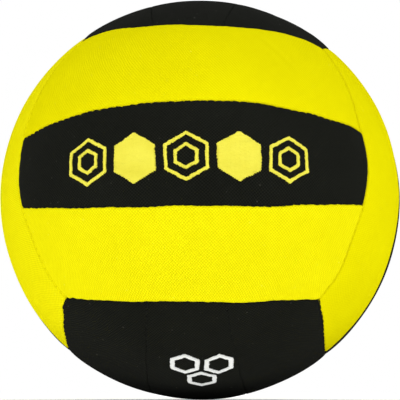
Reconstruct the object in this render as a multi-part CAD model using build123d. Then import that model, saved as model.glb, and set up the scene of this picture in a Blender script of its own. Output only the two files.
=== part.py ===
from build123d import *
from math import acos, atan2, cos, degrees, radians, sin, sqrt
import os

# A cloth-covered dodgeball, in millimetres. The origin is the ball's centre. The front face looks
# along -Y, +X is to the right and +Z is up. The valve is in the middle of the back face, at +Y.

# The ball and its layers, from the outside in
BALL_DIAMETER = 178.0
COVER_THICKNESS = 1.0
FOAM_THICKNESS = 3.0
LINING_THICKNESS = 0.8
BLADDER_WALL = 1.0
LAYER_GAP = 0.1

# The sewing pattern: six faces of three strips. Each seam is a circle on the ball, whose plane leans
# over the face by the tilt.
MIDDLE_STRIP_WIDTH = 40.4
STRIP_SEAM_TILT = 10.1
EDGE_SEAM_TILT = 10.4

# The turned-in edges of the panels, and the thread that lies in the groove between two of them
SEAM_GAP = 0.2
RIM_RADIUS = 1.2
THREAD_DIAMETER = 0.5
THREAD_CLEARANCE = 0.03
THREAD_END_GAP = 0.8

# The valve: a flanged boot that passes out through the bladder and the cover, and a plug in the boot
VALVE_RECESS = 0.4
NECK_DIAMETER = 6.8
NECK_CLEARANCE = 0.15
FLANGE_DIAMETER = 26.0
FLANGE_THICKNESS = 1.2
BOOT_DIAMETER = 9.6
BOOT_LENGTH = 13.0
BOOT_FLOOR = 1.6
AIR_HOLE_DIAMETER = 2.4
PLUG_DIAMETER = 4.4
PLUG_CLEARANCE = 0.05
COLLAR_DIAMETER = 5.6
COLLAR_LENGTH = 3.0
COLLAR_SETBACK = 2.0
NEEDLE_BORE_DIAMETER = 1.8
NEEDLE_BORE_LENGTH = 9.0
FUNNEL_DIAMETER = 3.0
FUNNEL_DEPTH = 0.8

# Radii of the layers, from the ball's centre
COVER_OUTER = BALL_DIAMETER / 2
COVER_INNER = COVER_OUTER - COVER_THICKNESS
FOAM_OUTER = COVER_INNER - LAYER_GAP
FOAM_INNER = FOAM_OUTER - FOAM_THICKNESS
LINING_OUTER = FOAM_INNER - LAYER_GAP
LINING_INNER = LINING_OUTER - LINING_THICKNESS
BLADDER_OUTER = LINING_INNER - LAYER_GAP
BLADDER_INNER = BLADDER_OUTER - BLADDER_WALL
FLANGE_OUTER = BLADDER_INNER - LAYER_GAP
FLANGE_INNER = FLANGE_OUTER - FLANGE_THICKNESS

# The seams of one face, drawn with the face looking along -X, its strips along Y and its width along Z.
# A seam is the circle at a given angle from its pole, and an edge seam runs between two corners of a
# cube inside the ball.
STRIP_TILT = radians(STRIP_SEAM_TILT)
EDGE_TILT = radians(EDGE_SEAM_TILT)
STRIP_ANGLE = acos(sin(MIDDLE_STRIP_WIDTH / BALL_DIAMETER - STRIP_TILT))
EDGE_ANGLE = acos((cos(EDGE_TILT) - sin(EDGE_TILT)) / sqrt(3))
UPPER_STRIP = (Vector(sin(STRIP_TILT), 0, cos(STRIP_TILT)), STRIP_ANGLE)
LOWER_STRIP = (Vector(sin(STRIP_TILT), 0, -cos(STRIP_TILT)), STRIP_ANGLE)
UPPER_EDGE = (Vector(sin(EDGE_TILT), 0, cos(EDGE_TILT)), EDGE_ANGLE)
LEFT_END = (Vector(-cos(EDGE_TILT), sin(EDGE_TILT), 0), EDGE_ANGLE)
RIGHT_END = (Vector(-cos(EDGE_TILT), -sin(EDGE_TILT), 0), EDGE_ANGLE)

# A strip lies inside some of these circles and outside others
OUTER_STRIP_SEAMS = ([LEFT_END, RIGHT_END, UPPER_STRIP], [UPPER_EDGE])
MIDDLE_STRIP_SEAMS = ([LEFT_END, RIGHT_END], [UPPER_STRIP, LOWER_STRIP])

# Each face: the way it looks, the direction of its width, and the names of its two outer strips, first
# the one on the width's positive side
FACES = {
    "front": ((0, -1, 0), (0, 0, 1), "upper", "lower"),
    "back": ((0, 1, 0), (0, 0, 1), "upper", "lower"),
    "right": ((1, 0, 0), (0, 1, 0), "rear", "front"),
    "left": ((-1, 0, 0), (0, 1, 0), "rear", "front"),
    "top": ((0, 0, 1), (1, 0, 0), "right", "left"),
    "bottom": ((0, 0, -1), (1, 0, 0), "right", "left"),
}
VALVE_STRIP = "back_middle"
VALVE_FRAME = Plane((0, 0, 0), x_dir=(1, 0, 0), z_dir=(0, 1, 0))
OTHER_WAY_UP = Rot(X=180)


def beyond(pole, distance):
    """All space further from the centre than a plane at that distance along the pole."""
    size = 2 * BALL_DIAMETER
    half_space = Box(size, size, size, align=(Align.CENTER, Align.CENTER, Align.MIN))
    return Plane(pole * distance, z_dir=pole) * half_space


def strip_face(seams, radius, inset):
    """The part of a sphere that a strip covers, drawn in from its seams by the inset."""
    inside, outside = seams
    turn = inset / COVER_OUTER
    ball = Sphere(radius)
    for pole, angle in inside:
        ball = ball & beyond(pole, radius * cos(angle - turn))
    for pole, angle in outside:
        ball = ball - beyond(pole, radius * cos(angle + turn))
    return ball.faces().filter_by(GeomType.SPHERE)[0]


def strip_pad(seams, outer, inner, inset):
    """A strip between two radii, with its walls square to the ball's surface."""
    return Solid.thicken(strip_face(seams, outer, inset), inner - outer)


def cover_panel(seams):
    """A cloth panel: a curved tray whose rolled edges turn in to the seam allowance."""
    edge = SEAM_GAP / 2
    body = strip_pad(seams, COVER_OUTER, FOAM_INNER, edge)
    outside = body.faces().filter_by(GeomType.SPHERE).sort_by(SortBy.AREA)[-1]
    body = fillet(outside.edges(), RIM_RADIUS)
    return body - strip_pad(seams, COVER_INNER, LINING_INNER, edge + COVER_THICKNESS)


def foam_pad(seams):
    """The pad on the back of a panel, inside its turned edges."""
    return strip_pad(seams, FOAM_OUTER, FOAM_INNER, SEAM_GAP / 2 + COVER_THICKNESS + LAYER_GAP)


def half_sweep(seam):
    """The angle about a seam's pole from the face's middle to where the seam meets the face's end."""
    pole, angle = seam
    end_pole, end_angle = RIGHT_END
    toward_face = Vector(-pole.Z, 0, pole.X)
    across, along = end_pole.dot(toward_face), end_pole.Y
    level = (cos(end_angle) - cos(angle) * end_pole.dot(pole)) / sin(angle)
    return atan2(along, across) + acos(level / sqrt(across**2 + along**2))


def seam_thread(seam):
    """One run of thread, which lies in the groove between two rolled edges."""
    pole, angle = seam
    thread_radius = THREAD_DIAMETER / 2
    reach = RIM_RADIUS + thread_radius + THREAD_CLEARANCE
    lift = sqrt(reach**2 - (RIM_RADIUS + SEAM_GAP / 2) ** 2)
    from_centre = COVER_OUTER - RIM_RADIUS + lift
    out, up = from_centre * sin(angle), from_centre * cos(angle)
    sweep = degrees(2 * (half_sweep(seam) - THREAD_END_GAP / out))
    section = Plane.XZ * Pos(out, up) * Circle(thread_radius)
    run = Rot(Z=-sweep / 2) * revolve(section, Axis.Z, sweep)
    return Plane((0, 0, 0), x_dir=(-pole.Z, 0, pole.X), z_dir=pole) * run


def valve_hole(diameter):
    """A round hole along the valve's axis, from inside the bladder to outside the ball."""
    bore = Cylinder(diameter / 2, BALL_DIAMETER, align=(Align.CENTER, Align.CENTER, Align.MIN))
    return VALVE_FRAME * bore


def hollow_ball(outer, inner):
    """A round layer with the hole that the valve's neck passes through."""
    return Sphere(outer) - Sphere(inner) - valve_hole(NECK_DIAMETER + 2 * NECK_CLEARANCE)


def turned(points):
    """A body of revolution about the valve's axis, from its outline in radius and height."""
    outline = make_face(Plane.XZ * Polyline(*points, close=True))
    return VALVE_FRAME * revolve(outline, Axis.Z)


def tube(diameter, top, bottom):
    """A solid round bar on the valve's axis."""
    return turned([(0, bottom), (diameter / 2, bottom), (diameter / 2, top), (0, top)])


VALVE_TOP = COVER_OUTER - VALVE_RECESS
BOOT_BOTTOM = FLANGE_INNER - BOOT_LENGTH
PLUG_BOTTOM = BOOT_BOTTOM + BOOT_FLOOR + PLUG_CLEARANCE
COLLAR_TOP = FLANGE_INNER - COLLAR_SETBACK
COLLAR_BOTTOM = COLLAR_TOP - COLLAR_LENGTH


def valve_boot():
    """The rubber boot: a neck, a flange under the bladder's wall and a barrel that holds the plug."""
    room = 2 * PLUG_CLEARANCE
    flange = (Sphere(FLANGE_OUTER) - Sphere(FLANGE_INNER)) & valve_hole(FLANGE_DIAMETER)
    boot = flange + tube(NECK_DIAMETER, VALVE_TOP, FLANGE_INNER) + tube(BOOT_DIAMETER, FLANGE_INNER, BOOT_BOTTOM)
    boot = boot - tube(PLUG_DIAMETER + room, VALVE_TOP, BOOT_BOTTOM + BOOT_FLOOR)
    boot = boot - tube(COLLAR_DIAMETER + room, COLLAR_TOP + PLUG_CLEARANCE, COLLAR_BOTTOM - PLUG_CLEARANCE)
    return boot - tube(AIR_HOLE_DIAMETER, BOOT_BOTTOM + BOOT_FLOOR, BOOT_BOTTOM)


def valve_plug():
    """The soft plug: a collar keeps it in the boot, and a funnel leads the needle into its hole."""
    bore, mouth = NEEDLE_BORE_DIAMETER / 2, FUNNEL_DIAMETER / 2
    bore_top = VALVE_TOP - FUNNEL_DEPTH
    bore_bottom = bore_top - NEEDLE_BORE_LENGTH
    body = tube(PLUG_DIAMETER, VALVE_TOP, PLUG_BOTTOM) + tube(COLLAR_DIAMETER, COLLAR_TOP, COLLAR_BOTTOM)
    return body - turned([(0, bore_bottom), (bore, bore_bottom), (bore, bore_top), (mouth, VALVE_TOP), (0, VALVE_TOP)])


def build():
    """Every piece by its name."""
    pieces = {}
    outer_cover, middle_cover = cover_panel(OUTER_STRIP_SEAMS), cover_panel(MIDDLE_STRIP_SEAMS)
    outer_foam, middle_foam = foam_pad(OUTER_STRIP_SEAMS), foam_pad(MIDDLE_STRIP_SEAMS)
    upper_threads = [seam_thread(UPPER_STRIP), seam_thread(UPPER_EDGE)]
    threads = upper_threads + [OTHER_WAY_UP * thread for thread in upper_threads]
    neck_hole = valve_hole(NECK_DIAMETER + 2 * NECK_CLEARANCE)
    for face, (outward, width, positive, negative) in FACES.items():
        place = Plane((0, 0, 0), x_dir=-Vector(outward), z_dir=width)
        strips = {
            positive: (outer_cover, outer_foam),
            "middle": (middle_cover, middle_foam),
            negative: (OTHER_WAY_UP * outer_cover, OTHER_WAY_UP * outer_foam),
        }
        for strip, (cover, foam) in strips.items():
            name = f"{face}_{strip}"
            cover, foam = place * cover, place * foam
            if name == VALVE_STRIP:
                cover, foam = cover - neck_hole, foam - neck_hole
            pieces[f"cover_{name}"] = cover
            pieces[f"foam_{name}"] = foam
        pieces[f"seam_thread_{face}"] = Compound([place * thread for thread in threads])
    pieces["lining"] = hollow_ball(LINING_OUTER, LINING_INNER)
    pieces["bladder"] = hollow_ball(BLADDER_OUTER, BLADDER_INNER)
    pieces["valve_boot"] = valve_boot()
    pieces["valve_plug"] = valve_plug()
    return pieces


os.makedirs("parts", exist_ok=True)
for name, piece in build().items():
    export_step(piece, f"parts/{name}.step")
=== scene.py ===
import bpy
import numpy as np
from math import acos, asin, atan2, cos, pi, radians, sin, sqrt
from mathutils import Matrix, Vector


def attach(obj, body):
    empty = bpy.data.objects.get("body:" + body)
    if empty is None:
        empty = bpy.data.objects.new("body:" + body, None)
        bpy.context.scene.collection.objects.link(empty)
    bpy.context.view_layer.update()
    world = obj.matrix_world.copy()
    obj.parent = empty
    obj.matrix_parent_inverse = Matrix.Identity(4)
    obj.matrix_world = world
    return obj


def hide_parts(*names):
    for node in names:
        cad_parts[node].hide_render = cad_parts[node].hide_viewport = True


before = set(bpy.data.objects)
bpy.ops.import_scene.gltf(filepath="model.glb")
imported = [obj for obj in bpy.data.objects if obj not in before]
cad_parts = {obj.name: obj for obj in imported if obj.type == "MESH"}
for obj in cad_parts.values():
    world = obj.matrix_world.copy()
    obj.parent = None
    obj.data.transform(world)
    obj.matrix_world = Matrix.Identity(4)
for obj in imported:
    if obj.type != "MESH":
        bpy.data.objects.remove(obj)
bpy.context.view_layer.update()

# Sizes in millimetres, as in the CAD. A seam is a circle on the ball that leans over its face.
MM = 0.001
BALL_RADIUS = 89.0
MIDDLE_WIDTH = 40.4
STRIP_LEAN = radians(10.1)
EDGE_LEAN = radians(10.4)
STRIP_LEVEL = MIDDLE_WIDTH / (2 * BALL_RADIUS)
EDGE_HEIGHT = (cos(EDGE_LEAN) - sin(EDGE_LEAN)) / sqrt(3)
EDGE_LEVEL = EDGE_LEAN + asin(EDGE_HEIGHT)
SEAM_GAP = 0.2
STITCH_PITCH = 3.0

# The cloth's turned edge: a tight roll, then a flange that goes down into the seam
ROLL_RADIUS = 0.42
FLANGE_DEPTH = 3.4
CORNER_ROUND = 0.9

# The pads under the cloth: radii from the ball's centre, distance from the seams, and their rounded edges
FOAM_OUTER, FOAM_INNER = 87.9, 84.9
PAD_INSET = 1.2
PAD_ROUND = 0.4
PAD_SHOULDER = 0.6
OUTER_BULGE, INNER_BULGE = -0.25, 0.1

# The hole in the cloth for the valve, as a radius, and the panel that it is in
VALVE_HOLE = 3.55
VALVE_PANEL = "back_middle"

# The grids of points: the first rows in from an edge, and the steps between the others
EDGE_ROWS = (0, 0.3, 0.65, 1.1, 1.6)
CLOTH_STEP_ALONG, CLOTH_STEP_ACROSS = 0.78, 0.74
PAD_STEP = 3.2
TINY = 1e-9

# Each face: the way it looks, the direction of its width, and the names of its two outer strips
FACES = {
    "front": ((0, -1, 0), (0, 0, 1), "upper", "lower"),
    "back": ((0, 1, 0), (0, 0, 1), "upper", "lower"),
    "right": ((1, 0, 0), (0, 1, 0), "rear", "front"),
    "left": ((-1, 0, 0), (0, 1, 0), "rear", "front"),
    "top": ((0, 0, 1), (1, 0, 0), "right", "left"),
    "bottom": ((0, 0, -1), (1, 0, 0), "right", "left"),
}
YELLOW_FACES = ("front", "back", "right", "left")
# Panels in a darker copy of the yellow cloth, with half the knit's contrast: painted shade
PAINTED_SHADE_PANELS = ("front_upper", "back_lower", "right_front", "left_rear")

# Materials: the knit's pitch, where the painted shade beside a seam begins and ends and its strength,
# and the numbers of a mix node's colour sockets
KNIT_ALONG, KNIT_ACROSS = 1.24, 1.2
SHADE_FROM, SHADE_TO, SHADE_SHARE = 0.1, 1.1, 0.5
COLOUR_A, COLOUR_B, COLOUR_MIXED = 6, 7, 2


class Finish:
    """A node material. Values that are the same all over go straight to the shader's sockets."""

    def __init__(self, name, **sockets):
        self.material = bpy.data.materials.new(name)
        self.material.use_nodes = True
        self.tree = self.material.node_tree
        self.shader = self.tree.nodes["Principled BSDF"]
        for socket, value in sockets.items():
            self.put(self.shader, socket.replace("_", " "), value)

    def put(self, node, socket, value):
        if isinstance(value, bpy.types.NodeSocket):
            self.tree.links.new(value, node.inputs[socket])
        else:
            node.inputs[socket].default_value = value

    def node(self, kind, out, settings, **inputs):
        made = self.tree.nodes.new("ShaderNode" + kind)
        for setting, value in settings.items():
            setattr(made, setting, value)
        for socket, value in inputs.items():
            self.put(made, socket, value)
        return made.outputs[out]

    def math(self, operation, first, second=0.0):
        made = self.tree.nodes.new("ShaderNodeMath")
        made.operation = operation
        self.put(made, 0, first)
        self.put(made, 1, second)
        return made.outputs[0]

    def total(self, *terms):
        """The sum of several (weight, value) terms."""
        result = 0.0
        for weight, value in terms:
            result = self.math("ADD", self.math("MULTIPLY", value, weight), result)
        return result

    def place(self):
        return self.node("TexCoord", "Object", {})

    def noise(self, size, detail=2.0):
        """Noise about zero, with features of that size in millimetres."""
        value = self.node("TexNoise", 0, {}, Vector=self.place(), Scale=1 / (size * MM), Detail=detail)
        return self.math("SUBTRACT", value, 0.5)

    def ramp(self, value, start, end, low=0.0, high=1.0, kind="SMOOTHSTEP"):
        """Goes from low to high while the value goes from start to end."""
        inputs = {"Value": value, "From Min": start, "From Max": end, "To Min": low, "To Max": high}
        return self.node("MapRange", 0, {"interpolation_type": kind}, **inputs)

    def blend(self, factor, first, second):
        made = self.tree.nodes.new("ShaderNodeMix")
        made.data_type = "RGBA"
        self.put(made, 0, factor)
        self.put(made, COLOUR_A, (*first, 1) if isinstance(first, tuple) else first)
        self.put(made, COLOUR_B, (*second, 1) if isinstance(second, tuple) else second)
        return made.outputs[COLOUR_MIXED]

    def colour(self, value):
        self.put(self.shader, "Base Color", value)

    def bump(self, height, depth, strength=1.0):
        """Relief of that depth in millimetres."""
        normal = self.node("Bump", 0, {}, Height=height, Distance=depth * MM, Strength=strength)
        self.put(self.shader, "Normal", normal)


def cloth(name, dark, light, painted_seam_shade, lint_and_glint, sheen=0.0, knit=1.0):
    """Fine knit: loops in staggered rows, fuzz, uneven dyeing, specks of fluff and painted glint, painted
    shade at seams.
    """
    finish = Finish(name, Roughness=0.95, Specular_IOR_Level=0.0, Sheen_Weight=sheen)
    weave = finish.node("Attribute", "Vector", {"attribute_name": "weave"})
    axes = finish.tree.nodes.new("ShaderNodeSeparateXYZ")
    finish.put(axes, 0, weave)
    along, across, inset = axes.outputs
    rows = finish.math("SINE", finish.math("MULTIPLY", along, 2 * pi / KNIT_ALONG))
    columns = finish.math("SINE", finish.math("MULTIPLY", across, 2 * pi / KNIT_ACROSS))
    loops = finish.math("MULTIPLY", rows, columns)
    fuzz = finish.noise(0.5, detail=3.0)
    yarn = finish.noise(3.0)
    cloth_tone = finish.noise(30.0)
    tone = finish.total((0.42 * knit, loops), (0.3 * knit, fuzz), (0.2, yarn), (0.3, cloth_tone), (1.0, 0.5))
    body = finish.blend(tone, dark, light)
    # Painted shade: near a sunk seam the colour is drawn part way to the darker seam colour
    edge = finish.ramp(inset, SHADE_FROM, SHADE_TO, low=1.0, high=0.0)
    with_painted_shade = finish.blend(finish.math("MULTIPLY", edge, SHADE_SHARE), body, painted_seam_shade)
    # Light specks: fluff on the cloth, and painted glints of the knit
    specks = finish.ramp(finish.noise(1.3, detail=1.0), 0.26, 0.32, kind="LINEAR")
    finish.colour(finish.blend(specks, with_painted_shade, lint_and_glint))
    relief = finish.total((0.5 * knit, loops), (0.8 * knit, fuzz))
    finish.bump(relief, depth=0.14, strength=0.8)
    return finish.material


def thread(name, dark, light, shine=0.0):
    """Twisted sewing thread with a soft shine."""
    finish = Finish(name, Roughness=0.6, Specular_IOR_Level=shine)
    twist = finish.noise(0.25, detail=1.0)
    lot = finish.noise(6.0)
    finish.colour(finish.blend(finish.total((0.8, twist), (0.8, lot), (1.0, 0.5)), dark, light))
    finish.bump(twist, depth=0.05)
    return finish.material


def foam(cell=0.9):
    """Open-cell foam."""
    finish = Finish("foam", Roughness=0.95, Specular_IOR_Level=0.1)
    cells = finish.node("TexVoronoi", 0, {}, Vector=finish.place(), Scale=1 / (cell * MM))
    tone = finish.math("ADD", cells, finish.noise(20.0))
    finish.colour(finish.blend(tone, (0.55, 0.53, 0.47), (0.8, 0.78, 0.7)))
    finish.bump(cells, depth=0.25)
    return finish.material


def wound_lining(strand=6):
    """A carcass of thread wound over the bladder in every direction."""
    finish = Finish("lining", Roughness=0.8, Specular_IOR_Level=0.2)
    strands = 0.0
    for turn in ((0.3, 0.2, 0.0), (1.2, 0.5, 0.9), (2.2, 1.1, 0.4)):
        way = finish.node("Mapping", 0, {}, Vector=finish.place(), Rotation=turn)
        wave = finish.node("TexWave", 1, {}, Vector=way, Scale=1 / (strand * MM), Distortion=2.0)
        strands = finish.math("MAXIMUM", strands, wave)
    tone = finish.total((1.0, strands), (0.6, finish.noise(8.0)))
    finish.colour(finish.blend(tone, (0.38, 0.37, 0.34), (0.78, 0.77, 0.73)))
    finish.bump(strands, depth=0.3)
    return finish.material


def rubber(name, dark, light, roughness):
    """Moulded rubber with a faint bloom and fine pits."""
    finish = Finish(name, Specular_IOR_Level=0.4)
    bloom = finish.noise(7.0, detail=4.0)
    finish.colour(finish.blend(finish.total((1.6, bloom), (1.0, 0.5)), dark, light))
    finish.put(finish.shader, "Roughness", finish.total((0.3, bloom), (1.0, roughness)))
    finish.bump(finish.noise(0.4, detail=3.0), depth=0.06)
    return finish.material


# Each cloth's seam colour is the darker colour of the painted shade beside its seams; its speck colour is for
# fluff and painted glints
YELLOW = cloth(
    "yellow_cloth", dark=(0.74, 0.66, 0.0008), light=(0.98, 0.92, 0.006),
    painted_seam_shade=(0.66, 0.58, 0.001), lint_and_glint=(0.9, 0.84, 0.05),
)
# The darker copy of the yellow: painted shade on the panels listed above
YELLOW_PAINTED_SHADE = cloth(
    "yellow_cloth_painted_shade", dark=(0.675, 0.595, 0.0005), light=(0.91, 0.85, 0.002),
    painted_seam_shade=(0.62, 0.54, 0.001), lint_and_glint=(0.88, 0.82, 0.05), knit=0.5,
)
BLACK = cloth(
    "black_cloth", dark=(0.0026, 0.0029, 0.0022), light=(0.0158, 0.0169, 0.0131),
    painted_seam_shade=(0.008, 0.0085, 0.0068), lint_and_glint=(0.06, 0.06, 0.05), sheen=0.016,
)
# One yellow seam thread in a darker copy, painted shade of the groove, and a paler copy
SHADED_YELLOW_THREAD = thread("yellow_thread", (0.66, 0.59, 0.001), (0.88, 0.81, 0.003))
LIT_YELLOW_THREAD = thread("pale_yellow_thread", (0.8, 0.72, 0.001), (1.0, 0.94, 0.004))
BLACK_THREAD = thread("black_thread", (0.008, 0.0085, 0.007), (0.018, 0.019, 0.016))
MOTIF_THREAD = thread("motif_thread", (0.80, 0.72, 0.05), (0.95, 0.89, 0.11), shine=0.15)
WHITE_THREAD = thread("white_thread", (0.86, 0.87, 0.86), (0.97, 0.98, 0.97), shine=0.15)
FOAM = foam()
LINING = wound_lining()
BLADDER_RUBBER = rubber("bladder_rubber", (0.012, 0.012, 0.012), (0.03, 0.03, 0.029), roughness=0.55)
VALVE_RUBBER = rubber("valve_rubber", (0.008, 0.008, 0.008), (0.02, 0.02, 0.02), roughness=0.5)


def add_mesh(name, points, faces, material, weave=None):
    """A smooth mesh that moves with the ball, from points in millimetres."""
    mesh = bpy.data.meshes.new(name)
    mesh.from_pydata((np.asarray(points) * MM).tolist(), [], faces)
    mesh.polygons.foreach_set("use_smooth", np.ones(len(mesh.polygons), bool))
    if weave is not None:
        layer = mesh.attributes.new("weave", "FLOAT_VECTOR", "POINT")
        layer.data.foreach_set("vector", np.asarray(weave, np.float32).ravel())
    mesh.materials.append(material)
    mesh.update()
    piece = bpy.data.objects.new(name, mesh)
    bpy.context.scene.collection.objects.link(piece)
    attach(piece, "root")
    return piece


def unit(vectors):
    return vectors / np.linalg.norm(vectors, axis=-1, keepdims=True)


def direction_at(azimuth, elevation):
    """The direction that many degrees to the right of the front's middle and above it."""
    a, e = radians(azimuth), radians(elevation)
    return np.array([sin(a) * cos(e), -cos(a) * cos(e), sin(e)])


def right_and_up(directions):
    """Unit vectors along the ball's surface, to the right and up."""
    level = np.zeros(directions.shape[:-1])
    right = unit(np.stack([-directions[..., 1], directions[..., 0], level], axis=-1) + TINY)
    return right, np.cross(directions, right)


def waves(points, seed, shortest, longest, count=12):
    """Smooth noise between about -1 and 1: plane waves through the ball, with lengths in millimetres."""
    rng = np.random.default_rng(seed)
    ways = unit(rng.normal(size=(count, 3))) * (2 * pi / rng.uniform(shortest, longest, (count, 1)))
    return np.sin(points @ ways.T + rng.uniform(0, 2 * pi, count)).sum(axis=-1) * 1.4 / sqrt(count)


def ripple(run, seed, lengths):
    """Uneven waves along a line."""
    rng = np.random.default_rng(seed)
    total = np.zeros_like(run)
    for length in lengths:
        total += rng.uniform(0.5, 1) * np.sin(2 * pi * run / length + rng.uniform(0, 2 * pi))
    return total / len(lengths)


# Seams of one face, drawn with the face looking along -X, its strips along Y and its width along Z.
# Each is a pole, the height of the seam's plane along it, and the side of the seam on which the strip lies.
LEFT_END = (np.array([-cos(EDGE_LEAN), sin(EDGE_LEAN), 0]), EDGE_HEIGHT, 1)
RIGHT_END = (np.array([-cos(EDGE_LEAN), -sin(EDGE_LEAN), 0]), EDGE_HEIGHT, 1)


def leaning(lean, level, side):
    return np.array([sin(lean), 0, cos(lean)]), sin(level - lean), side


def strip_between(leans, levels):
    """A strip between two leaning seams, with the four seams in order round it."""
    first, last = leaning(leans[0], levels[0], 1), leaning(leans[1], levels[1], -1)
    return {"leans": leans, "levels": levels, "seams": (first, RIGHT_END, last, LEFT_END)}


OUTER_STRIP = strip_between((STRIP_LEAN, EDGE_LEAN), (STRIP_LEVEL, EDGE_LEVEL))
MIDDLE_STRIP = strip_between((-STRIP_LEAN, STRIP_LEAN), (-STRIP_LEVEL, STRIP_LEVEL))


def half_swing(lean, level):
    """How far a seam swings round its pole, from the face's middle to the face's end."""
    up, out = np.sin(level - lean), np.cos(level - lean)
    across, along = cos(EDGE_LEAN) * np.cos(lean), -sin(EDGE_LEAN)
    target = (EDGE_HEIGHT + up * cos(EDGE_LEAN) * np.sin(lean)) / out
    return np.arctan2(along, across) + np.arccos(target / np.hypot(across, along))


def on_circle(lean, level, swing):
    """Directions on a seam's circle, swung round its pole from where it crosses the face's middle."""
    up, out = np.sin(level - lean), np.cos(level - lean)
    x = up * np.sin(lean) - out * np.cos(lean) * np.cos(swing)
    y = out * np.sin(swing)
    z = up * np.cos(lean) + out * np.sin(lean) * np.cos(swing)
    return np.stack(np.broadcast_arrays(x, y, z), axis=-1)


def strip_directions(strip, along, across):
    """Directions over a strip; along and across run from -1 to 1 between its seams."""
    share = (across + 1) / 2
    lean = strip["leans"][0] + share * (strip["leans"][1] - strip["leans"][0])
    level = strip["levels"][0] + share * (strip["levels"][1] - strip["levels"][0])
    return on_circle(lean, level, along * half_swing(lean, level))


def strip_halves(strip):
    """Half the strip's length and width through its middle, in millimetres."""
    lean, level = sum(strip["leans"]) / 2, sum(strip["levels"]) / 2
    length = BALL_RADIUS * cos(level - lean) * float(half_swing(lean, level))
    return length, BALL_RADIUS * (strip["levels"][1] - strip["levels"][0]) / 2


def insets(strip, directions):
    """Distances in millimetres from the strip's four seams, positive on the strip."""
    return np.stack([side * BALL_RADIUS * (acos(height) - np.arccos(np.clip(directions @ pole, -1, 1)))
                     for pole, height, side in strip["seams"]], axis=-1)


def drawn_to(strip, directions, seam, inset):
    """Moves directions straight to or from one seam, until they are that far from it."""
    pole, _, side = strip["seams"][seam]
    gap = insets(strip, directions)[..., seam]
    toward = unit(pole - (directions @ pole)[..., None] * directions) * side
    return unit(directions + toward * ((inset - gap) / BALL_RADIUS)[..., None])


def rounded(strip, directions, start, sliver=0.01, passes=4):
    """Rounds the strip's corners, where its edge is that far from the seams."""
    for first, second in ((0, 1), (1, 2), (2, 3), (3, 0)):
        gaps = insets(strip, directions) - start
        p, q = gaps[:, first], gaps[:, second]
        depth = np.minimum(p, q)
        radius = CORNER_ROUND - depth
        near = (depth > -sliver) & (radius > sliver) & (p + q - 2 * depth < radius)
        turn = pi / 4 * (1 + ((p - q)[near] / radius[near]))
        for _ in range(passes):
            for seam, way in ((first, np.cos(turn)), (second, np.sin(turn))):
                inset = start + depth[near] + radius[near] * (1 - way)
                directions[near] = drawn_to(strip, directions[near], seam, inset)
    return directions


def spaced(half, step):
    """Places from -1 to 1 along a line of that half-length, closer together near its ends."""
    near = np.array(EDGE_ROWS)
    rest = np.linspace(near[-1], half, max(2, round((half - near[-1]) / step)))[1:]
    side = 1 - np.concatenate([near, rest]) / half
    return np.concatenate([-side, side[-2::-1]])


def rim_of(rows, columns):
    """Row and column numbers round the rim of a grid, and the seams that each place is on."""
    last_row, last_column = rows - 1, columns - 1
    rim = [(0, c, [0]) for c in range(columns)]
    rim += [(r, last_column, [1]) for r in range(1, rows)]
    rim += [(last_row, c, [2]) for c in range(columns - 2, -1, -1)]
    rim += [(r, 0, [3]) for r in range(rows - 2, 0, -1)]
    corners = {
        (0, 0): [0, 3],
        (0, last_column): [0, 1],
        (last_row, last_column): [1, 2],
        (last_row, 0): [2, 3],
    }
    return [(r, c, corners.get((r, c), seams)) for r, c, seams in rim]


def grid_faces(rows, columns, start=0, flip=False):
    faces = []
    for r in range(rows - 1):
        for c in range(columns - 1):
            a = start + r * columns + c
            quad = (a, a + columns, a + columns + 1, a + 1)
            faces.append(quad[::-1] if flip else quad)
    return faces


def band_faces(inner, outer):
    """Quads between two closed rings of point numbers."""
    count = len(inner)
    return [(inner[k], inner[(k + 1) % count], outer[(k + 1) % count], outer[k]) for k in range(count)]


def ring_at(strip, along, across, rim, inset, passes=3):
    """Directions round the strip at one distance from its seams."""
    length, width = strip_halves(strip)
    us = np.array([along[c] for _, c, _ in rim]) * (1 - inset / length)
    vs = np.array([across[r] for r, _, _ in rim]) * (1 - inset / width)
    ring = strip_directions(strip, us, vs)
    for _ in range(passes):
        for seam in range(4):
            held = np.array([seam in seams for _, _, seams in rim])
            ring[held] = drawn_to(strip, ring[held], seam, inset)
    return rounded(strip, ring, inset)


def face_axes(outward, width):
    """The turn from a face's own drawing to its place on the ball."""
    x, z = -np.array(outward, float), np.array(width, float)
    return np.stack([x, np.cross(z, x), z], axis=1)


# Sewing isn't exact. The seams wander: the seeds for X, Y and Z, the shortest and longest wave, and how far
WANDERS = (
    ((11, 12, 13), 9, 34, 0.16),
    ((14, 15, 16), 2.2, 5.0, 0.07),
)

# Corners where three faces meet are pulled out of true, and the cloth dips there
CORNERS = unit(np.array([(x, y, z) for x in (-1, 1) for y in (-1, 1) for z in (-1, 1)], float))
CORNER_PULLS = np.random.default_rng(8).normal(size=(8, 3)) * 0.35
CORNER_REACH = 3.0
CORNER_DIP = 0.35

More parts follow.
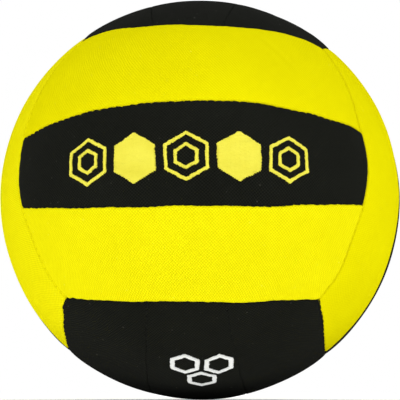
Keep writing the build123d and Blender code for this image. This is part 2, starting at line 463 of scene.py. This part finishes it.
# Each pull: the azimuth and elevation where it acts, how far to the right and up, and its reach.
# It acts on the cloth that would lie there if all the seams were true.
PULLS = (
    (-45, -35, 3.4, 0.0, 16),
    (-43, -36, 0.0, 0.5, 3),
    (-47, -38, -1.4, 0.0, 3.2),
    (-44, -35, 1.4, -0.8, 2.2),
    (-49, -18, 4.6, 0.0, 15),
    (45, -35, -2.0, -1.2, 16),
    (50, -18, -3.0, 0.0, 14),
    (64, -46, -6.2, 0.0, 20),
    (72, -49, 0.0, -1.5, 10),
    (50, 38, 8.5, 0.2, 22),
    (70, 40, 4.0, -6.0, 24),
    (-44, 40, -4.0, 6.6, 24),
    (-31, 38, 0.0, 2.0, 13),
    (38, 38, 0.0, 3.0, 12),
    (-54, 7, 0.0, 1.4, 8),
    (46, 8, 0.0, 1.0, 8),
    (51, 13, -1.5, 0.3, 9),
    (52, 0, 0.9, 0.0, 7),
    (-5, 13, 0.0, -0.9, 14),
    (23, -13, 0.0, -0.8, 9),
    (-40, -13, 0.0, 0.7, 9),
    (20, -37, 0.0, -0.6, 20),
    (88, -40, 12.5, 0.0, 34),
    (84, 4, 6.0, 0.0, 30),
    (-90, -30, -4.5, 0.0, 32),
    (-80, -50, 0.0, 1.9, 10),
)

# The front's long edges sit too high: angles in degrees, rises in millimetres
FRONT_EDGE, FRONT_EDGE_REACH = 37, 12
FRONT_HALF, FRONT_FADE = 45, 10
UPPER_RISE, UPPER_TILT, UPPER_BOW, UPPER_SPAN = 3.9, 1.2, 1.6, 40
LOWER_RISE = 1.5

# Soft creases in the cloth: the azimuth and elevation of the middle, half-length, lean, width and depth
CREASES = (
    (30, -22, 13, 4, 1.6, 0.42),
    (35, -24, 12, 9, 1.3, 0.36),
    (27, -28, 9, -2, 1.8, 0.12),
)
FAINT_CREASES = 36
LIP_HEIGHT, LIP_PLACE = 0.6, 1.9


def front_rise(directions):
    """How far the seams along the front's upper and lower edge are raised."""
    azimuth = np.degrees(np.arctan2(directions[..., 0], -directions[..., 1]))
    elevation = np.degrees(np.arcsin(np.clip(directions[..., 2], -1, 1)))
    front = np.exp(-np.clip(abs(azimuth) - FRONT_HALF, 0, None) ** 2 / (2 * FRONT_FADE**2))
    run = azimuth / UPPER_SPAN
    upper = np.exp(-(((elevation - FRONT_EDGE) / FRONT_EDGE_REACH) ** 2))
    lower = np.exp(-(((elevation + FRONT_EDGE) / FRONT_EDGE_REACH) ** 2))
    return front * (upper * (UPPER_RISE - UPPER_TILT * run + UPPER_BOW * run**2) + lower * LOWER_RISE)


def sewn(directions):
    """Directions with the wander of the seams. Neighbouring panels share it, so they still meet."""
    places = directions * BALL_RADIUS
    drift = np.zeros_like(places)
    for seeds, shortest, longest, size in WANDERS:
        drift += np.stack([waves(places, seed, shortest, longest) for seed in seeds], axis=-1) * size
    for corner, pull in zip(CORNERS, CORNER_PULLS):
        reach = np.linalg.norm(places - corner * BALL_RADIUS, axis=-1)
        drift += np.exp(-(reach / CORNER_REACH) ** 2)[..., None] * pull
    right, up = right_and_up(directions)
    for azimuth, elevation, to_right, upward, reach in PULLS:
        centre = direction_at(azimuth, elevation) * BALL_RADIUS
        share = np.exp(-(np.linalg.norm(places - centre, axis=-1) / reach) ** 2)[..., None]
        drift += share * (to_right * right + upward * up)
    return unit(places + drift + front_rise(directions)[..., None] * up)


def creased(world):
    """The depth of the creases: the listed ones on the front, and faint ones anywhere."""
    rng = np.random.default_rng(5)
    faint = [(rng.uniform(60, 300), rng.uniform(-60, 60), rng.uniform(6, 14), rng.uniform(-90, 90),
              rng.uniform(1.2, 2.4), rng.uniform(0.03, 0.09)) for _ in range(FAINT_CREASES)]
    height = np.zeros(len(world))
    for azimuth, elevation, length, lean, width, depth in (*CREASES, *faint):
        tilt = radians(lean)
        centre = direction_at(azimuth, elevation)
        right, up = right_and_up(centre)
        offset = world - centre * BALL_RADIUS
        along = offset @ (up * cos(tilt) + right * sin(tilt))
        across = offset @ (right * cos(tilt) - up * sin(tilt))
        lip = LIP_HEIGHT * np.exp(-((across - LIP_PLACE * width) / width) ** 2)
        fold = np.exp(-(across / width) ** 2) - lip
        height -= depth * fold * np.exp(-(along / length) ** 4)
    return height


# How the cloth dips at each of a strip's seams, puckers there and is drawn in by the stitches.
# Places along a seam are counted from a direction that lies along no pole.
SEAM_DIP, FLAT_SEAM_DIP = 0.5, 0.06
DIP_REACHES = (2.6, 5.0, 2.6, 5.0)
PUCKER, PUCKER_REACH = 0.08, 3.5
PUCKER_LENGTHS = (4.1, 6.3, 9.7, 14.0)
STITCH_DENT, DENT_REACH = 0.03, 0.9
ASKEW = (1.0, 0.3, 0.2)

# Long waves in the cloth and short ones in the pads: the seed, the shortest and the longest
SAG = 0.12
SAG_WAVES = (21, 25, 70)
PAD_WAVES = (31, 6, 20)


def sag(world):
    """How far the cloth falls short of a true ball, in long waves."""
    return SAG * (1 + waves(world, *SAG_WAVES))


def cloth_height(strip, directions, world, gaps, seed, flat_seams):
    """How far the cloth stands from the ball: it dips and puckers at the seams, and isn't quite round."""
    dips = [FLAT_SEAM_DIP if seam in flat_seams else SEAM_DIP for seam in range(4)]
    height = -(dips * np.exp(-np.clip(gaps, 0, None) / DIP_REACHES)).max(axis=-1)
    height -= sag(world)
    for seam, (pole, level, _) in enumerate(strip["seams"]):
        if seam in flat_seams:
            continue
        side = unit(np.cross(pole, ASKEW))
        turn = np.arctan2(directions @ np.cross(pole, side), directions @ side)
        run = turn * BALL_RADIUS * sqrt(1 - level**2)
        gap = np.clip(gaps[..., seam], 0, None)
        height += PUCKER * ripple(run, seed * 7 + seam, PUCKER_LENGTHS) * np.exp(-gap / PUCKER_REACH)
        height -= STITCH_DENT * np.cos(pi * run / STITCH_PITCH) ** 2 * np.exp(-gap / DENT_REACH)
    for corner in CORNERS:
        reach = np.linalg.norm(world - corner * BALL_RADIUS, axis=-1)
        height -= CORNER_DIP * np.exp(-reach / CORNER_REACH)
    return height + creased(world)


def turned_edge():
    """The edge's section from the flat cloth outward: distances from the seam, and depths."""
    wall = SEAM_GAP / 2
    bends = [radians(a) for a in (15, 35, 55, 75, 90)]
    section = [(wall + ROLL_RADIUS * (1 - sin(a)), -ROLL_RADIUS * (1 - cos(a))) for a in bends]
    return section + [(wall, -depth) for depth in (1.0, 1.8, FLANGE_DEPTH)]


def grid_round_valve(along, across, length, width, start):
    """A grid with lines drawn to the valve's hole and bent round it, and which of its points are inside."""
    for line, half in ((along, length), (across, width)):
        for way in (-1, 1):
            line[np.abs(line * half - way * VALVE_HOLE).argmin()] = way * VALVE_HOLE / half
    u, v = np.meshgrid(along, across)
    a, b = u * length, v * width
    square, radius = np.maximum(abs(a), abs(b)), np.maximum(np.hypot(a, b), TINY)
    share = np.clip((4 * VALVE_HOLE - square) / (3 * VALVE_HOLE), 0, 1)
    rounder = 1 - share + share * square / radius
    u, v = u * rounder, v * rounder
    u, v = u * (1 - start / length * abs(u)), v * (1 - start / width * abs(v))
    return u, v, square < VALVE_HOLE - TINY


def valve_edge(points, weave, a, b, sliver=0.02):
    """The cut edge of the cloth round the valve: two more rings that go down into the hole."""
    on_edge = np.flatnonzero(abs(np.hypot(a, b) - VALVE_HOLE) < sliver)
    edge = sorted(on_edge.tolist(), key=lambda k: atan2(b.flat[k], a.flat[k]))
    faces, ring = [], edge
    for shrink, drop in ((0.985, 0.12), (0.985, 0.9)):
        added = points[edge] * [shrink, 1, shrink] - [0, drop, 0]
        following = list(range(len(points), len(points) + len(edge)))
        points = np.concatenate([points, added])
        weave = np.concatenate([weave, weave[edge] * [1, 1, 0]])
        faces += band_faces(ring, following)
        ring = following
    return points, weave, faces


def cover_panel(name, strip, axes, material, seed, flat_seams):
    """A cloth panel: a fine grid over the strip, and rings that roll its edge over into the seam."""
    length, width = strip_halves(strip)
    along, across = spaced(length, CLOTH_STEP_ALONG), spaced(width, CLOTH_STEP_ACROSS)
    start = SEAM_GAP / 2 + ROLL_RADIUS
    has_valve = name == VALVE_PANEL
    if has_valve:
        u, v, skipped = grid_round_valve(along, across, length, width, start)
    else:
        u, v = np.meshgrid(along * (1 - start / length), across * (1 - start / width))
        skipped = np.zeros(u.shape, bool)
    rows, columns = u.shape
    rim = rim_of(rows, columns)
    picks = [r * columns + c for r, c, _ in rim]
    flat = rounded(strip, strip_directions(strip, u, v).reshape(-1, 3), start)
    flat[picks] = ring_at(strip, along, across, rim, start)
    layers, depths = [flat], [np.zeros(len(flat))]
    faces = [quad for quad in grid_faces(rows, columns) if not any(skipped.flat[p] for p in quad)]
    ring = picks
    for k, (inset, depth) in enumerate(turned_edge()):
        layers.append(ring_at(strip, along, across, rim, inset))
        depths.append(np.full(len(rim), depth))
        following = list(range(len(flat) + k * len(rim), len(flat) + (k + 1) * len(rim)))
        faces += band_faces(ring, following)
        ring = following
    directions = np.concatenate(layers)
    gaps = insets(strip, directions)
    world = sewn(directions @ axes.T) * BALL_RADIUS
    height = cloth_height(strip, directions, world, gaps, seed, flat_seams) + np.concatenate(depths)
    points = unit(world) * (BALL_RADIUS + height)[:, None]
    run = np.arctan2(directions[:, 1], -directions[:, 0]) * BALL_RADIUS
    # The painted seam shade is measured from the sunk seams only, so flat seams between black strips get none
    sunk = [seam for seam in range(4) if seam not in flat_seams]
    edge = np.clip(gaps[:, sunk].min(axis=-1), 0, None)
    weave = np.stack([run, directions[:, 2] * BALL_RADIUS, edge], axis=-1)
    if has_valve:
        points, weave, more = valve_edge(points, weave, u * length, v * width)
        faces += more
    return add_mesh(f"panel_{name}", points, faces, material, weave)


def foam_pad(name, strip, axes):
    """A thin foam pad under a panel: rounded edges, and a skin that isn't quite even."""
    length, width = strip_halves(strip)
    along, across = spaced(length, PAD_STEP), spaced(width, PAD_STEP)
    rows, columns = len(across), len(along)
    rim = rim_of(rows, columns)
    picks = [r * columns + c for r, c, _ in rim]
    u, v = np.meshgrid(along, across)
    inset = PAD_INSET + PAD_ROUND
    sides = []
    for radius, bulge in ((FOAM_OUTER, OUTER_BULGE), (FOAM_INNER, INNER_BULGE)):
        grid = strip_directions(strip, u * (1 - inset / length), v * (1 - inset / width)).reshape(-1, 3)
        grid[picks] = ring_at(strip, along, across, rim, inset)
        world = sewn(grid @ axes.T) * BALL_RADIUS
        sides.append(unit(world) * (radius + bulge * (1 + waves(world, *PAD_WAVES)) / 2)[:, None])
    belt = []
    for radius in (FOAM_OUTER - PAD_SHOULDER, FOAM_INNER + PAD_SHOULDER):
        belt.append(sewn(ring_at(strip, along, across, rim, PAD_INSET) @ axes.T) * radius)
    size, count = rows * columns, len(rim)
    outer_belt = list(range(2 * size, 2 * size + count))
    inner_belt = list(range(2 * size + count, 2 * size + 2 * count))
    rings = [picks, outer_belt, inner_belt, [size + p for p in picks]]
    faces = grid_faces(rows, columns) + grid_faces(rows, columns, size, True)
    for first, second in zip(rings, rings[1:]):
        faces += band_faces(first, second)
    return add_mesh(f"pad_{name}", np.concatenate(sides + belt), faces, FOAM)


def tubes(paths, radius, sides=6, end_share=0.45):
    """Round threads along paths of equal length, thinner and closed at their ends."""
    paths = np.asarray(paths, float)
    count, steps, _ = paths.shape
    ahead = unit(np.gradient(paths, axis=1))
    out = unit(paths)
    out = unit(out - (out * ahead).sum(-1, keepdims=True) * ahead)
    beside = np.cross(ahead, out)
    angles = np.arange(sides) * 2 * pi / sides
    taper = np.ones(steps)
    taper[[0, -1]] = end_share
    ring = np.cos(angles)[:, None] * out[:, :, None] + np.sin(angles)[:, None] * beside[:, :, None]
    points = paths[:, :, None] + ring * (radius * taper)[None, :, None, None]
    faces = []
    for p in range(count):
        base = p * steps * sides
        for k in range(steps - 1):
            for s in range(sides):
                a, b = base + k * sides + s, base + k * sides + (s + 1) % sides
                faces.append((a, b, b + sides, a + sides))
        faces.append(tuple(base + s for s in reversed(range(sides))))
        faces.append(tuple(base + (steps - 1) * sides + s for s in range(sides)))
    return points.reshape(-1, 3), faces


# Stitches: points along each, how far they slant and dive, and the bare ends of a seam
STITCH_STEPS = 9
STITCH_SLANT = 0.12
STITCH_DIVE = 0.5
BARE_END = 0.3


def seam_stitches(lean, level, flip, depth):
    """Thread paths along one seam: it lies in the groove and dives into the cloth at each stitch."""
    out = BALL_RADIUS * cos(level - lean)
    total = 2 * (float(half_swing(lean, level)) - BARE_END / out) * out
    count = round(total / STITCH_PITCH)
    way = np.linspace(-1, 1, STITCH_STEPS)
    slant = way * STITCH_SLANT / BALL_RADIUS
    sink = depth + STITCH_DIVE * way**4
    paths = []
    for k in range(count):
        run = -total / 2 + total * (k + np.linspace(0.04, 0.96, STITCH_STEPS)) / count
        path = on_circle(lean, level + slant, run / out)
        paths.append((path * [1, flip, flip], sink))
    return paths


def stitched(name, axes, lean, level, material, depth, radius):
    """One face's stitches along two of its seams, that far below the surface."""
    paths = []
    for flip in (1, -1):
        for path, sink in seam_stitches(lean, level, flip, depth):
            paths.append(sewn(path @ axes.T) * (BALL_RADIUS - sink)[:, None])
    points, faces = tubes(paths, radius)
    return add_mesh(name, points, faces, material)


# Embroidered hexagons: a row on the front strip, outlined and filled by turns, and a cluster underneath.
# A motif's place is the azimuth and elevation of its middle.
FRONT_PLACE, FRONT_SEED = (0.9, -1.3), 17
MOTIF_PITCH = 19.4
MOTIF_RADIUS = 9.4
INNER_OUTLINE = MOTIF_RADIUS - 5.0
BOTTOM_PLACE, BOTTOM_SEED = (5.0, -58.0), 18
CLUSTER = ((-6.6, 0), (6.6, 0), (0, -11.4))
CLUSTER_RADIUS, CLUSTER_WIDTH = 5.6, 1.9

# Its thread, and how high each kind of stitch stands above its ends, which are sunk in the cloth
THREAD_PITCH = 0.42
THREAD_RADIUS = 0.25
THREAD_SUNK = 0.2
SATIN_WIDTH = 1.3
FILL_STITCH = 5.4
FILL_BELOW, FILL_ABOVE = 0.3, 0.2
JOIN_LAP = 0.8
JOIN_MARGIN = 1.0
UNDERLAY_INSET = 0.8
UNDERLAY_HALF = 7.4
OUTLINE_RISE, UNDERLAY_RISE, FILL_RISE = 0.5, 0.36, 0.6
ARCHED, FLAT_TOPPED = 4, 10
UNEVEN_END, UNEVEN_RISE = 0.07, 0.02


class Embroidery:
    """Satin-stitched shapes, drawn in millimetres on a flat patch that is laid on the ball at one place."""

    def __init__(self, azimuth, elevation, seed):
        self.middle = direction_at(azimuth, elevation)
        self.right, self.up = right_and_up(self.middle)
        self.rng = np.random.default_rng(seed)
        self.paths = []

    def laid(self, points, lift):
        """Places on the cloth, from the patch's millimetres, raised by the lift."""
        reach = np.linalg.norm(points, axis=-1, keepdims=True)
        way = points / np.maximum(reach, TINY)
        sideways = way[..., :1] * self.right + way[..., 1:] * self.up
        turn = reach / BALL_RADIUS
        directions = sewn(np.cos(turn) * self.middle + np.sin(turn) * sideways)
        return directions * (BALL_RADIUS - sag(directions * BALL_RADIUS) + lift)[..., None]

    def satin(self, starts, ends, rise, steepness=ARCHED):
        """Threads laid side by side from one edge to the other, each a low arch with slightly uneven ends."""
        steps = np.array([0, 0.07, 0.22, 0.5, 0.78, 0.93, 1])
        for start, end in zip(starts, ends):
            way = (end - start) / np.linalg.norm(end - start)
            first = start - way * self.rng.normal(0, UNEVEN_END)
            last = end + way * self.rng.normal(0, UNEVEN_END)
            line = first + steps[:, None] * (last - first)
            arch = 1 - (2 * steps - 1) ** steepness
            lift = -THREAD_SUNK + (rise + self.rng.normal(0, UNEVEN_RISE)) * arch
            self.paths.append(self.laid(line, lift))

    def outline(self, centre, radius, width=SATIN_WIDTH):
        """A hexagon's outline, with mitred corners."""
        inner, outer = hexagon(radius - width / 2), hexagon(radius + width / 2)
        count = round(radius / THREAD_PITCH)
        starts, ends = [], []
        for k in range(6):
            for share in (np.arange(count) + 0.5) / count:
                starts.append(centre + inner[k] + share * (inner[k + 1] - inner[k]))
                ends.append(centre + outer[k] + share * (outer[k + 1] - outer[k]))
        self.satin(starts, ends, OUTLINE_RISE)

    def filling(self, centre, radius):
        """A filled hexagon: upright threads underneath, and rows over them with staggered joins."""
        starts, ends = [], []
        for side in np.arange(-UNDERLAY_HALF, UNDERLAY_HALF, THREAD_PITCH):
            half = radius - UNDERLAY_INSET - abs(side) / sqrt(3)
            starts.append(centre + np.array([side, -half]))
            ends.append(centre + np.array([side, half]))
        self.satin(starts, ends, UNDERLAY_RISE, FLAT_TOPPED)
        starts, ends = [], []
        for row, level in enumerate(np.arange(-radius + FILL_BELOW, radius - FILL_ABOVE, THREAD_PITCH)):
            half = min(radius * sqrt(3) / 2, (radius - abs(level)) * sqrt(3))
            joins = np.arange(-3, 4) * FILL_STITCH + (row % 3 - 1) * FILL_STITCH / 3
            joins = joins[abs(joins) < half - JOIN_MARGIN]
            for first, last in zip([-half, *joins - JOIN_LAP], [*joins + JOIN_LAP, half]):
                starts.append(centre + np.array([first, level]))
                ends.append(centre + np.array([last, level]))
        self.satin(starts, ends, FILL_RISE, FLAT_TOPPED)

    def sew(self, name, material):
        points, faces = tubes(self.paths, THREAD_RADIUS)
        return add_mesh(name, points, faces, material)


def hexagon(radius):
    angles = np.radians(90 + 60 * np.arange(7))
    return np.stack([np.cos(angles), np.sin(angles)], axis=-1) * radius


def front_motif():
    row = Embroidery(*FRONT_PLACE, FRONT_SEED)
    for place in range(-2, 3):
        centre = np.array([place * MOTIF_PITCH, 0])
        if place % 2:
            row.filling(centre, MOTIF_RADIUS)
        else:
            row.outline(centre, MOTIF_RADIUS - SATIN_WIDTH / 2)
            row.outline(centre, INNER_OUTLINE)
    return row.sew("front_embroidery", MOTIF_THREAD)


def bottom_motif():
    cluster = Embroidery(*BOTTOM_PLACE, BOTTOM_SEED)
    for centre in CLUSTER:
        cluster.outline(np.array(centre), CLUSTER_RADIUS, CLUSTER_WIDTH)
    return cluster.sew("bottom_embroidery", WHITE_THREAD)


# The thread in a seam, how deep it lies and its radius: in a sunk seam, in a flat one between two black
# strips, and at the edges of the side faces. The side faces have one yellow thread in two copies: a paler
# one on the left, and a darker one on the right that is painted shade in the groove
SUNK_THREAD = (BLACK_THREAD, 0.8, 0.2)
FLAT_THREAD = (BLACK_THREAD, 0.56, 0.3)
EDGE_THREADS = {"left": (LIT_YELLOW_THREAD, 0.88, 0.34), "right": (SHADED_YELLOW_THREAD, 0.95, 0.24)}
FIRST_SEED = 100

motifs = {"front_middle": front_motif(), "bottom_middle": bottom_motif()}

# The cover, the pads under it and the stitches
for number, (face, (outward, width_way, positive, negative)) in enumerate(FACES.items()):
    axes = face_axes(outward, width_way)
    upside_down = axes * [1, -1, -1]
    strips = (
        (positive, OUTER_STRIP, axes),
        ("middle", MIDDLE_STRIP, axes),
        (negative, OUTER_STRIP, upside_down),
    )
    for strip_number, (strip_name, strip, turn) in enumerate(strips):
        name = f"{face}_{strip_name}"
        yellow = face in YELLOW_FACES and strip_name != "middle"
        # The darker copy of the yellow is painted shade
        cloth_tone = YELLOW_PAINTED_SHADE if name in PAINTED_SHADE_PANELS else YELLOW
        material, slot = (cloth_tone, "yellow_cloth") if yellow else (BLACK, "black_cloth")
        flat_seams = (0, 2) if strip_name == "middle" else (0,)
        if face in YELLOW_FACES:
            flat_seams = ()
        seed = FIRST_SEED + 3 * number + strip_number
        panel = cover_panel(name, strip, turn, material, seed, flat_seams)
        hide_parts(f"cover_{name}")
        pad = foam_pad(name, strip, turn)
        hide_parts(f"foam_{name}")
    strip_thread = SUNK_THREAD if face in YELLOW_FACES else FLAT_THREAD
    strip_run = stitched(f"stitches_{face}", axes, STRIP_LEAN, STRIP_LEVEL, *strip_thread)
    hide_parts(f"seam_thread_{face}")
    edge_thread = EDGE_THREADS.get(face, SUNK_THREAD)
    stitched(f"edge_stitches_{face}", axes, EDGE_LEAN, EDGE_LEVEL, *edge_thread)

# The solids that stay as they are inside the cover
INNER_SOLIDS = {
    "lining": LINING,
    "bladder": BLADDER_RUBBER,
    "valve_boot": VALVE_RUBBER,
    "valve_plug": VALVE_RUBBER,
}
for node, material in INNER_SOLIDS.items():
    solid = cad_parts[node]
    solid.data.materials.clear()
    solid.data.materials.append(material)


# The stage, in metres
FLOOR_HALF = 4
SKY_STRENGTH = 0.765
WHITE = (1, 1, 1, 1)
BALL_MIDDLE = (0, 0, 0)
LOW_PANEL_LEVEL = -0.0885


def floor_material():
    """Pale and matt. The camera sees it a little brighter, and more so away from the ball."""
    finish = Finish("floor", Roughness=0.9, Specular_IOR_Level=0.0, Emission_Color=WHITE)
    finish.colour(finish.blend(finish.noise(300.0), (0.88, 0.88, 0.88), (0.92, 0.92, 0.92)))
    seen_straight = finish.node("LightPath", "Is Camera Ray", {})
    distance = finish.node("VectorMath", "Value", {"operation": "LENGTH"}, Vector=finish.place())
    paler = finish.ramp(distance, 0.1, 0.5, low=0.3, high=0.55)
    finish.put(finish.shader, "Emission Strength", finish.math("MULTIPLY", seen_straight, paler))
    return finish.material


def white_surroundings():
    """The camera and reflections see white, and the light on the ball is a little softer."""
    world = bpy.data.worlds.new("surroundings")
    world.use_nodes = True
    tree = world.node_tree
    sky = tree.nodes["Background"]
    seen = tree.nodes.new("ShaderNodeBackground")
    for background, strength in ((sky, SKY_STRENGTH), (seen, 1.0)):
        background.inputs["Color"].default_value = WHITE
        background.inputs["Strength"].default_value = strength
    rays = tree.nodes.new("ShaderNodeLightPath")
    straight = tree.nodes.new("ShaderNodeMath")
    straight.operation = "MAXIMUM"
    either = tree.nodes.new("ShaderNodeMixShader")
    tree.links.new(rays.outputs["Is Camera Ray"], straight.inputs[0])
    tree.links.new(rays.outputs["Is Glossy Ray"], straight.inputs[1])
    tree.links.new(straight.outputs[0], either.inputs[0])
    tree.links.new(sky.outputs[0], either.inputs[1])
    tree.links.new(seen.outputs[0], either.inputs[2])
    tree.links.new(either.outputs[0], tree.nodes["World Output"].inputs[0])
    bpy.context.scene.world = world


def softbox(name, place, aim, width, height, watts, spread=180):
    lamp = bpy.data.lights.new(name, "AREA")
    lamp.shape = "RECTANGLE"
    lamp.size, lamp.size_y = width, height
    lamp.energy = watts
    lamp.spread = radians(spread)
    holder = bpy.data.objects.new(name, lamp)
    holder.location = place
    holder.rotation_euler = (Vector(aim) - Vector(place)).to_track_quat("-Z", "Y").to_euler()
    holder.visible_camera = False
    bpy.context.scene.collection.objects.link(holder)


def low_panel(name, x, y, width, height, watts):
    """A soft panel just above the floor that shines straight up."""
    softbox(name, (x, y, LOW_PANEL_LEVEL), (x, y, 1), width, height, watts)


# Floor
floor_mesh = bpy.data.meshes.new("floor")
floor_corners = [(x * FLOOR_HALF, y * FLOOR_HALF, 0) for x, y in ((-1, -1), (1, -1), (1, 1), (-1, 1))]
floor_mesh.from_pydata(floor_corners, [], [(0, 1, 2, 3)])
floor_mesh.materials.append(floor_material())
floor = bpy.data.objects.new("floor", floor_mesh)
floor.location.z = -BALL_RADIUS * MM
bpy.context.scene.collection.objects.link(floor)

# Light: large soft lamps round the ball, and weak panels by the floor that stand for its bounce
white_surroundings()
softbox("front_light", (0.0, -1.1, 0.05), BALL_MIDDLE, 0.9, 0.3, 0.16)
softbox("left_light", (-1.0, -0.35, 0.0), BALL_MIDDLE, 0.8, 0.2, 0.2)
softbox("right_light", (0.8, -0.4, 0.7), BALL_MIDDLE, 0.6, 0.3, 1.0)
softbox("back_light", (0.1, 0.8, 0.75), BALL_MIDDLE, 1.0, 0.6, 2.0)
softbox("floor_light", (0.0, -0.62, 0.3), (0, -0.62, -1), 1.4, 0.7, 4.6, spread=100)
low_panel("low_left_panel", -0.17, -0.09, 0.2, 0.26, 0.044)
low_panel("low_right_panel", 0.2, 0.0, 0.2, 0.26, 0.066)
low_panel("low_front_panel", 0.0, -0.27, 0.6, 0.28, 0.01)
low_panel("low_near_panel", 0.0, -0.15, 0.3, 0.12, 0.014)
low_panel("low_under_panel", 0.0, -0.06, 0.14, 0.06, 0.014)

# Camera: just above the floor and a little right of the face's middle, looking up at the ball.
# It is that many ball radii away, and the ball's outline fills that share of the frame.
CAMERA_AZIMUTH, CAMERA_ELEVATION = 4.1, -11.73
CAMERA_REACH = 4.78
SENSOR_WIDTH = 36
FRAME_SHARE = 0.999
camera_data = bpy.data.cameras.new("camera")
camera_data.sensor_width = SENSOR_WIDTH
camera_data.lens = SENSOR_WIDTH / 2 * sqrt(CAMERA_REACH**2 - 1) * FRAME_SHARE
camera_data.clip_start = 0.01
camera = bpy.data.objects.new("camera", camera_data)
camera.location = CAMERA_REACH * BALL_RADIUS * MM * Vector(direction_at(CAMERA_AZIMUTH, CAMERA_ELEVATION))
camera.rotation_euler = (-camera.location).to_track_quat("-Z", "Y").to_euler()
bpy.context.scene.collection.objects.link(camera)
bpy.context.scene.camera = camera
bpy.context.scene.view_settings.view_transform = "Standard"
